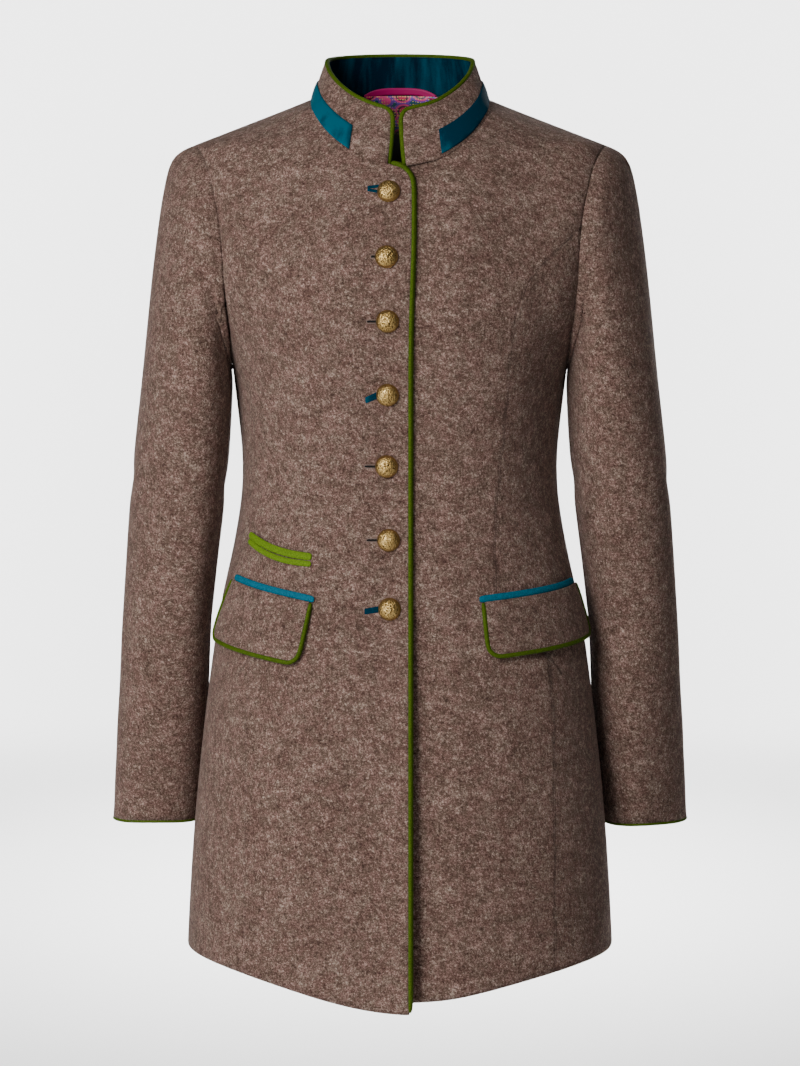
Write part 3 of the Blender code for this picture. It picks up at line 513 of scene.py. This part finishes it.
# Sleeves
# Two-piece sleeves, an upper and an under part sewn along the front and the back of the arm, eased
# into the armhole at a full, slightly padded cap. They bend forward a little at the elbow.
SLEEVE_AXES = {"right": (-0.212, 0.030), "left": (0.212, 0.030)}
SLEEVE_SPREAD = 0.0016
SLEEVE_SWELLS = ARMHOLE_SWELLS + (
    ("front", (-0.150, -0.150), (-0.166, -0.660), 0.039, -0.0165),
    ("front", (0.196, -0.470), (0.204, -0.980), 0.052, -0.0390),
)
SLEEVE_TUCKS = {
    "right": (("left", (0.010, -0.170), (0.010, -0.480), 0.050, -0.0038),),
    "left": (("right", (0.010, -0.170), (0.010, -0.480), 0.050, -0.0044),),
}
SLEEVE_CREASES = (
    ("front", (-0.228, -0.060), (-0.245, -0.500), 0.024, 0.0040),
    ("front", (0.228, -0.060), (0.245, -0.500), 0.024, 0.0020),
    ("front", (0.216, 0.000), (0.230, -0.340), 0.034, 0.0055),
    ("front", (-0.196, -0.330), (-0.235, -0.360), 0.009, 0.0016),
    ("front", (-0.205, -0.420), (-0.240, -0.445), 0.010, 0.0016),
    ("front", (0.190, -0.330), (0.228, -0.365), 0.010, 0.0018),
    ("front", (0.200, -0.410), (0.238, -0.440), 0.010, 0.0018),
    ("back", (-0.190, -0.345), (-0.240, -0.370), 0.013, 0.0036),
    ("back", (0.190, -0.340), (0.240, -0.372), 0.013, 0.0036),
    ("back", (-0.196, -0.420), (-0.244, -0.432), 0.012, 0.0026),
    ("back", (0.196, -0.415), (0.244, -0.430), 0.012, 0.0026),
    ("right", (-0.020, -0.330), (0.040, -0.360), 0.012, 0.0016),
    ("left", (-0.020, -0.335), (0.040, -0.368), 0.012, 0.0016),
)
SLEEVE_PANELS = (
    ("sleeve_upper_right", 0.240, 0.645, 0.129),
    ("sleeve_upper_left", 0.240, 0.645, 0.131),
    ("sleeve_under_right", 0.115, 0.570, 0.055),
    ("sleeve_under_left", 0.115, 0.570, 0.054),
)
for row in SLEEVE_PANELS:
    panel = dict(zip(PANEL_COLUMNS, row))
    side = panel["node"].rsplit("_", 1)[1]
    creases = SLEEVE_CREASES + SLEEVE_TUCKS[side]
    cloth = cloth_piece(panel["node"], WOOL_LEVELS, WOOL, WOOL_THICKNESS, creases, turn=0.0,
                        spread=SLEEVE_SPREAD, axis=SLEEVE_AXES[side], swells=SLEEVE_SWELLS)

# Collar
# A stand collar of wool, faced inside with teal velvet. A velvet band is sewn round its lower
# outside and stops short of the front. The velvet's colour runs across the body from a shaded to a
# lit copy: partly the pile's direction, partly painted light where the lamp at the left falls and
# painted shade where it does not. The band is lit on its left and shaded on its right; the facing
# inside is darker and painted lighter towards the right.
TRIM_LEVELS = 2
COLLAR_WALL = 0.0020
COLLAR_SPREAD = 0.0012
BAND_TURN = 0.0004
VELVET_WALL = 0.0010
VELVET_SURFACE = {"Roughness": 0.8, "Sheen Weight": 0.08, "Sheen Roughness": 0.35,
                  "Sheen Tint": (0.02, 0.45, 0.60, 1.0), "Specular IOR Level": 0.06}
# Shaded and lit copies of the velvet: partly its pile, partly painted shade and painted light.
BAND_SHADED = (0.0004, 0.026, 0.048, 1.0)
BAND_LIT = (0.0005, 0.092, 0.138, 1.0)
# How fast the band and the facing run from shaded to lit across the body, for the pile and the painted
# light.
BAND_PILE_AND_LIGHT_SLOPE = -3.5
FACING_SHADED = (0.0003, 0.010, 0.024, 1.0)
FACING_LIT = (0.0005, 0.055, 0.090, 1.0)
FACING_PILE_AND_LIGHT_SLOPE = 1.2
PILE_STRETCH = (1.0, 1.0, 0.10)
PILE_SCALE = 95.0
PILE_DETAIL = 3.0
PILE_STOPS = (0.42, 0.72)
GRAIN_SCALE = 1400.0
GRAIN_DETAIL = 2.0
GRAIN_WEIGHT = 0.25
GRAIN_DEPTH = 0.0005
GRAIN_STRENGTH = 0.5


def velvet_finish(name, dark, lit, pile_and_light_slope):
    """Velvet running from a shaded to a lit copy across the body: partly its pile, partly painted light and
    shade; the last argument sets how fast.
    """
    finish, tree, shader = new_finish(name, VELVET_SURFACE)
    place = node(tree, "TexCoord").outputs["Object"]
    drawn = node(tree, "Mapping", {"Vector": place, "Scale": PILE_STRETCH}).outputs["Vector"]
    streak = node(tree, "TexNoise", {"Vector": drawn, "Scale": PILE_SCALE,
                                     "Detail": PILE_DETAIL}).outputs["Fac"]
    grain = node(tree, "TexNoise", {"Vector": place, "Scale": GRAIN_SCALE,
                                    "Detail": GRAIN_DETAIL}).outputs["Fac"]
    across = node(tree, "SeparateXYZ", {"Vector": place}).outputs["X"]
    turned = node(tree, "Math", {0: across, 1: pile_and_light_slope, 2: streak}, operation="MULTIPLY_ADD").outputs[0]
    fuzz = node(tree, "Math", {0: grain, 1: NOISE_MIDDLE}, operation="SUBTRACT").outputs[0]
    turned = node(tree, "Math", {0: fuzz, 1: GRAIN_WEIGHT, 2: turned}, operation="MULTIPLY_ADD").outputs[0]
    tree.links.new(ramp(tree, turned, tuple(zip(PILE_STOPS, (dark, lit)))), shader.inputs["Base Color"])
    pile = node(tree, "Bump", {"Height": grain, "Strength": GRAIN_STRENGTH, "Distance": GRAIN_DEPTH})
    tree.links.new(pile.outputs["Normal"], shader.inputs["Normal"])
    return finish


BAND_VELVET = velvet_finish("teal_velvet", BAND_SHADED, BAND_LIT, BAND_PILE_AND_LIGHT_SLOPE)
FACING_VELVET = velvet_finish("facing_velvet", FACING_SHADED, FACING_LIT, FACING_PILE_AND_LIGHT_SLOPE)
stand = cloth_piece("collar", WOOL_LEVELS, WOOL, COLLAR_WALL, turn=0.0, spread=COLLAR_SPREAD)
facing = cloth_piece("collar_facing", TRIM_LEVELS, FACING_VELVET, VELVET_WALL, turn=0.0,
                     spread=COLLAR_SPREAD)
band = cloth_piece("collar_band", TRIM_LEVELS, BAND_VELVET, VELVET_WALL, turn=BAND_TURN, spread=0.0)

# Piping
# Felted cord covered with moss-green cloth, sewn into the collar edge, the right front edge, both
# cuffs and the pocket flaps, with only its round side showing.
GREEN = (0.070, 0.122, 0.005, 1.0)
GREEN_DARK = (0.028, 0.052, 0.001, 1.0)
FELT_SURFACE = {"Roughness": 0.8, "Sheen Weight": 0.05, "Sheen Roughness": 0.5, "Specular IOR Level": 0.15}
FUZZ_SCALE = 900.0
FUZZ_DETAIL = 4.0
FUZZ_ROUGHNESS = 0.65
FUZZ_STOPS = (0.35, 0.6)
FUZZ_DEPTH = 0.0005
FUZZ_STRENGTH = 0.4
PIPING_GIRTHS = {"collar_piping": 0.0001, "front_piping": 0.0006, "cuff_piping_right": 0.0,
                 "cuff_piping_left": 0.0, "flap_piping_right": 0.0005, "flap_piping_left": 0.0005}
FRONT_GIRTHS = {"collar_piping": 0.0006}
FRONT_GIRTH_DEPTH = 0.085
PIPING_SWELLS = {"front_piping": EDGE_SWELLS, "cuff_piping_right": SLEEVE_SWELLS,
                 "cuff_piping_left": SLEEVE_SWELLS}
PIPING_ROLLS = {"front_piping": 0.0020, "flap_piping_right": 0.0010, "flap_piping_left": 0.0010}
SLIT_TOP = -0.020
SLIT_STRETCH = 1.16


def felt_finish(name, colour, dark):
    """A dyed felt: a fine even nap with slightly darker hollows."""
    finish, tree, shader = new_finish(name, {**FELT_SURFACE, "Sheen Tint": colour})
    place = node(tree, "TexCoord").outputs["Object"]
    fuzz = node(tree, "TexNoise", {"Vector": place, "Scale": FUZZ_SCALE, "Detail": FUZZ_DETAIL,
                                   "Roughness": FUZZ_ROUGHNESS}).outputs["Fac"]
    tree.links.new(ramp(tree, fuzz, tuple(zip(FUZZ_STOPS, (dark, colour)))), shader.inputs["Base Color"])
    bump = node(tree, "Bump", {"Height": fuzz, "Strength": FUZZ_STRENGTH, "Distance": FUZZ_DEPTH})
    tree.links.new(bump.outputs["Normal"], shader.inputs["Normal"])
    return finish


def cord_piece(name, finish, girth, front_girth=0.0, swells=(), roll=0.0):
    """A rounded strip from its solid, thickened to make up for the smoothing, and moved with the cloth.

    The roll turns the side towards the wearer's left back behind the edge it is sewn to."""
    bm = cad_copy(name)
    join_quads(bm)
    piece = new_piece(name + "_cord", bm)
    made_fine(piece, TRIM_LEVELS)
    places, normals = points_of(piece.data)
    forward = np.clip(-places[:, 1] / FRONT_GIRTH_DEPTH, 0, 1)
    moved = swollen(places, swells) + normals * (girth + front_girth * forward)[:, None]
    moved[:, 1] += roll * np.clip(normals[:, 0], 0, 1)
    set_points(piece.data, moved)
    piece.data.materials.clear()
    piece.data.materials.append(finish)
    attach(piece, "root")
    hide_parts(name)
    return piece


def lengthen_slit(cord):
    """Draws the collar's piping down both sides of the front slit, to meet the front's own piping."""
    places, _ = points_of(cord.data)
    height = places[:, 2]
    places[:, 2] = np.where(height < SLIT_TOP, SLIT_TOP + (height - SLIT_TOP) * SLIT_STRETCH, height)
    set_points(cord.data, places)


GREEN_PIPING = felt_finish("moss_piping", GREEN, GREEN_DARK)
pipings = {}
for name, girth in PIPING_GIRTHS.items():
    pipings[name] = cord_piece(name, GREEN_PIPING, girth,
                               front_girth=FRONT_GIRTHS.get(name, 0.0),
                               swells=PIPING_SWELLS.get(name, ()), roll=PIPING_ROLLS.get(name, 0.0))
lengthen_slit(pipings["collar_piping"])

# Pockets
# Two flap pockets with teal welts, and a small bowed ticket pocket above the right one, its mouth
# closed by two green felt lips. The flaps are wool, sewn in under the welts.
TEAL = (0.004, 0.148, 0.228, 1.0)
TEAL_DARK = (0.002, 0.068, 0.110, 1.0)
FELT = (0.135, 0.238, 0.008, 1.0)
FELT_DARK = (0.075, 0.140, 0.004, 1.0)
FLAP_PANELS = (("flap_right", 0.105, 0.058, 0.0058), ("flap_left", 0.120, 0.054, 0.0064))
FLAP_CREASES = (
    ("front", (-0.150, -0.462), (-0.100, -0.480), 0.010, 0.0007),
    ("front", (0.095, -0.470), (0.150, -0.462), 0.010, 0.0007),
)
FLAP_SPREAD = 0.0004
WELT_GIRTH = 0.0004
TEAL_WELT = felt_finish("teal_welt", TEAL, TEAL_DARK)
GREEN_FELT = felt_finish("green_felt", FELT, FELT_DARK)
for row in FLAP_PANELS:
    panel = dict(zip(PANEL_COLUMNS, row))
    cloth = cloth_piece(panel["node"], WOOL_LEVELS, WOOL, WOOL_THICKNESS, FLAP_CREASES, spread=FLAP_SPREAD)
for name in ("flap_welt_right", "flap_welt_left"):
    cord_piece(name, TEAL_WELT, WELT_GIRTH)
for name in ("ticket_welt_upper", "ticket_welt_lower"):
    cord_piece(name, GREEN_FELT, WELT_GIRTH)

# Inside the neck
# A magenta satin tape to hang the blazer by, and the lining that shows at the back of the neck. It is
# printed with rings and dots where it meets the collar; lower down the print gives way to painted
# shade, nearly black.
SATIN_SURFACE = {"Base Color": (0.360, 0.0001, 0.100, 1.0), "Roughness": 0.45, "Specular IOR Level": 0.2}
LOOP_WALL = 0.0008
LINING_WALL = 0.0008
LINING_SPREAD = 0.0040
# Painted shade: below these heights the lining's print fades to nearly black.
SHADE_TOP = -0.018
SHADE_BOTTOM = -0.030
SHADE = (0.002, 0.002, 0.003, 1.0)
LINING_SURFACE = {"Roughness": 0.45, "Sheen Weight": 0.15}
RING_PATTERN = {"Scale": 62.0, "Randomness": 0.55}
SPECK_PATTERN = {"Scale": 420.0, "Randomness": 0.2}
SPECK_STOPS = ((0.26, (1.0, 1.0, 1.0, 1.0)), (0.34, (0.0, 0.0, 0.0, 1.0)))
SPECK = (0.72, 0.50, 0.16, 1.0)
LINING_RINGS = (
    (0.00, (0.75, 0.42, 0.06, 1.0)),
    (0.16, (0.62, 0.02, 0.10, 1.0)),
    (0.30, (0.06, 0.01, 0.05, 1.0)),
    (0.40, (0.70, 0.06, 0.22, 1.0)),
    (0.52, (0.16, 0.05, 0.38, 1.0)),
    (0.64, (0.010, 0.090, 0.120, 1.0)),
)


def lining_finish():
    finish, tree, shader = new_finish("printed_lining", LINING_SURFACE)
    place = node(tree, "TexCoord").outputs["Object"]
    cells = node(tree, "TexVoronoi", {"Vector": place, **RING_PATTERN}).outputs["Distance"]
    dots = node(tree, "TexVoronoi", {"Vector": place, **SPECK_PATTERN}).outputs["Distance"]
    rings = ramp(tree, cells, LINING_RINGS, "CONSTANT")
    printed = mixed(tree, ramp(tree, dots, SPECK_STOPS), rings, SPECK)
    # Painted shade: the print is mixed towards nearly black lower down on the lining.
    height = node(tree, "SeparateXYZ", {"Vector": place}).outputs["Z"]
    shown = node(tree, "MapRange", {"Value": height, "From Min": SHADE_BOTTOM,
                                    "From Max": SHADE_TOP}).outputs["Result"]
    tree.links.new(mixed(tree, shown, SHADE, printed), shader.inputs["Base Color"])
    return finish


lining = cloth_piece("neck_lining", TRIM_LEVELS, lining_finish(), LINING_WALL, turn=0.0,
                     spread=LINING_SPREAD)
satin, _, _ = new_finish("magenta_satin", SATIN_SURFACE)
cloth_piece("hanger_loop", TRIM_LEVELS, satin, LOOP_WALL, turn=0.0, spread=0.0)

# Buttonholes
# Three buttonholes of the right front are bound with two lips of teal velvet. The other four are cut
# and worked with brown thread, with a bar across the outer end; the slit between the threads is a
# near-black strip of painted shade.
HOLE_STEPS = (10, 4)
# Painted shade: the near-black colour of the strip laid in each worked slit.
SLIT_SHADE_SURFACE = {"Base Color": (0.004, 0.003, 0.003, 1.0), "Roughness": 1.0}
THREAD_SURFACE = {"Base Color": (0.150, 0.105, 0.085, 1.0), "Roughness": 0.7}
LIP_COLUMNS = ("button", "start", "end", "half_height", "rise")
BOUND_LIPS = (
    (1, (-0.0192, 0.0034), (-0.0070, 0.0048), 0.0016, 0.0010),
    (1, (-0.0192, 0.0014), (-0.0070, -0.0006), 0.0016, 0.0010),
    (4, (-0.0202, -0.0040), (-0.0075, 0.0022), 0.0019, 0.0010),
    (4, (-0.0202, -0.0062), (-0.0075, -0.0010), 0.0019, 0.0010),
    (7, (-0.0230, -0.0014), (-0.0080, 0.0014), 0.0018, 0.0010),
    (7, (-0.0230, -0.0036), (-0.0080, -0.0012), 0.0018, 0.0010),
)
WORKED_HOLES = ((2, -0.0140), (3, -0.0185), (5, -0.0200), (6, -0.0200))
WORKED_END = -0.0070
SLIT_HALF = 0.0011
THREAD_HALF = 0.0005
THREAD_STEP = 0.0015
THREAD_RISE = 0.0005
BAR_HALF = 0.0016
STRIP_END_POWER = 6
STRIP_END_ROUND = 0.5
STRIP_CROWN_POWER = 4
STRIP_SUNK = 0.25
CAST_START = -1.0


def button_seat(name):
    """Place and facing of a button's flat back; it faces the way its points spread least."""
    places = np.array([vertex.co for vertex in cad_copy(name).verts])
    centre = places.mean(axis=0)
    facing = np.linalg.svd(places - centre)[2][2]
    facing *= -np.sign(facing[1])
    heights = (places - centre) @ facing
    return centre + facing * heights.min(), facing


def cloth_tree(piece):
    bm = bmesh.new()
    bm.from_mesh(piece.data)
    tree = BVHTree.FromBMesh(bm)
    bm.free()
    return tree


def laid_strip(name, tree, button, start, end, half_height, rise, finish, slot):
    """A soft strip on the cloth, its ends given from a button's middle as across and up."""
    seat, _ = button_seat("button_%d" % button)
    start = np.array(start) + seat[[0, 2]]
    run = np.array(end) + seat[[0, 2]] - start
    side = np.array((-run[1], run[0])) / np.linalg.norm(run)
    bm = bmesh.new()
    bmesh.ops.create_grid(bm, x_segments=HOLE_STEPS[0], y_segments=HOLE_STEPS[1], size=1.0)
    for vertex in bm.verts:
        along, across = vertex.co.x, vertex.co.y
        rounding = (1 - abs(along) ** STRIP_END_POWER) ** STRIP_END_ROUND
        flat = start + run * (along + 1) / 2 + side * half_height * across
        place, normal, _, _ = tree.ray_cast(Vector((flat[0], CAST_START, flat[1])), Vector((0, 1, 0)))
        crown = 1 - across**STRIP_CROWN_POWER
        vertex.co = place + normal * (rise * crown * rounding - rise * STRIP_SUNK)
    bmesh.ops.recalc_face_normals(bm, faces=bm.faces)
    piece = new_piece(name, bm)
    smooth = piece.modifiers.new("smooth", "SUBSURF")
    smooth.levels = TRIM_LEVELS
    smooth.render_levels = TRIM_LEVELS
    piece.data.materials.append(finish)
    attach(piece, "root")


front_tree = cloth_tree(body_cloths["front_right"])
HOLE_VELVET = velvet_finish("buttonhole_velvet", BAND_SHADED, BAND_LIT, 0.0)
slit_shade_finish, _, _ = new_finish("buttonhole_slit_shade", SLIT_SHADE_SURFACE)
thread_finish, _, _ = new_finish("buttonhole_thread", THREAD_SURFACE)
for count, row in enumerate(BOUND_LIPS):
    lip = dict(zip(LIP_COLUMNS, row))
    laid_strip("buttonhole_lip_%d" % count, front_tree, **lip, finish=HOLE_VELVET, slot="velvet")
for button, reach in WORKED_HOLES:
    label = "buttonhole_%d" % button
    # A strip of painted shade in the slit, then the two thread lips and the bar.
    laid_strip(label + "_slit_shade", front_tree, button, (reach, 0.0), (WORKED_END, 0.0), SLIT_HALF,
               THREAD_RISE / 2, slit_shade_finish, "wool")
    for side, level in (("upper", THREAD_STEP), ("lower", -THREAD_STEP)):
        laid_strip(label + "_" + side, front_tree, button, (reach, level), (WORKED_END, level),
                   THREAD_HALF, THREAD_RISE, thread_finish, "wool")
    laid_strip(label + "_bar", front_tree, button, (reach, -BAR_HALF), (reach, BAR_HALF),
               THREAD_HALF, THREAD_RISE, thread_finish, "wool")

# Buttons
# Hollow domed buttons pressed from brass sheet, with an all-over raised pattern of crooked veins and
# a rolled rim. The hollows have gone dark, and the high places are rubbed bright.
BUTTON_COUNT = 7
BUTTON_RADIUS = 0.0102
DOME_RADIUS = 0.0097
DOME_START = 0.0024
DOME_RISE = 0.0066
DOME_STEPS = 40
BUTTON_STEPS = 128
RELIEF_COLUMNS = ("scale", "weight")
RELIEF_LAYERS = ((640.0, 1.0), (1250.0, 0.7))
RELIEF = 0.00034
RELIEF_SHIFT = 7.3
VEIN_LEVEL = 0.5
VEIN_DEPTH = 2.4
RELIEF_RIM = 0.12
BRASS_GRAIN = {"Scale": 1300.0, "Detail": 3.0}
GRAIN_SHARE = 0.35
WEAR_MIDDLE = 0.42
WEAR_RANGE = 0.42
BRASS_STOPS = (
    (0.20, (0.080, 0.046, 0.014, 1.0)),
    (0.42, (0.33, 0.200, 0.062, 1.0)),
    (0.90, (0.75, 0.52, 0.20, 1.0)),
)
BRASS_ROUGHNESS = ((0.3, (0.6, 0.6, 0.6, 1.0)), (0.8, (0.28, 0.28, 0.28, 1.0)))
RIM_PROFILE = ((0.0, 0.0), (0.0040, 0.0), (0.0085, 0.0005), (BUTTON_RADIUS, 0.0014), (0.0101, 0.0021))


def button_relief(places, number):
    """Height of the pressed pattern: two sizes of crooked veins, flat at the rim."""
    height = np.zeros(len(places))
    for row in RELIEF_LAYERS:
        layer = dict(zip(RELIEF_COLUMNS, row))
        shift = Vector((number * RELIEF_SHIFT, 0, 0))
        veins = [noise.noise(Vector(place) * layer["scale"] + shift) for place in places]
        height += layer["weight"] * (VEIN_LEVEL - VEIN_DEPTH * np.abs(veins))
    share = np.hypot(places[:, 0], places[:, 1]) / DOME_RADIUS
    return height * np.clip((1 - share) / RELIEF_RIM, 0, 1) * (places[:, 2] > DOME_START)


def brass_finish():
    finish, tree, shader = new_finish("antique_brass", {"Metallic": 1.0})
    place = node(tree, "TexCoord").outputs["Object"]
    hammer = node(tree, "TexNoise", {"Vector": place, **BRASS_GRAIN}).outputs["Fac"]
    relief = node(tree, "Attribute", attribute_name="relief").outputs["Fac"]
    worn = node(tree, "Math", {0: hammer, 1: GRAIN_SHARE, 2: relief}, operation="MULTIPLY_ADD").outputs[0]
    tree.links.new(ramp(tree, worn, BRASS_STOPS), shader.inputs["Base Color"])
    tree.links.new(ramp(tree, worn, BRASS_ROUGHNESS), shader.inputs["Roughness"])
    return finish


def button_piece(number, finish):
    name = "button_%d" % number
    bm = bmesh.new()
    profile = list(RIM_PROFILE)
    for step in np.linspace(0, math.pi / 2, DOME_STEPS):
        profile.append((DOME_RADIUS * math.cos(step), DOME_START + DOME_RISE * math.sin(step)))
    line = [bm.verts.new((radius, 0.0, rise)) for radius, rise in profile]
    edges = [bm.edges.new(pair) for pair in zip(line, line[1:])]
    bmesh.ops.spin(bm, geom=line + edges, cent=(0, 0, 0), axis=(0, 0, 1), angle=2 * math.pi,
                   steps=BUTTON_STEPS, use_merge=True)
    bmesh.ops.remove_doubles(bm, verts=bm.verts, dist=MERGE)
    bmesh.ops.recalc_face_normals(bm, faces=bm.faces)
    piece = new_piece(name + "_brass", bm)
    places, normals = points_of(piece.data)
    height = button_relief(places, number)
    places += normals * (RELIEF * height)[:, None]
    seat, facing = button_seat(name)
    seat, facing, _, _ = front_tree.ray_cast(Vector(seat) + Vector(facing), -Vector(facing))
    turn = facing.to_track_quat("Z", "Y").to_matrix()
    set_points(piece.data, places @ np.array(turn).T + np.array(seat))
    worn = piece.data.attributes.new("relief", "FLOAT", "POINT")
    worn.data.foreach_set("value", np.clip(WEAR_MIDDLE + WEAR_RANGE * height, 0, 1))
    piece.data.materials.append(finish)
    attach(piece, "root")
    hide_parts(name)


BRASS = brass_finish()
for number in range(1, BUTTON_COUNT + 1):
    button_piece(number, BRASS)
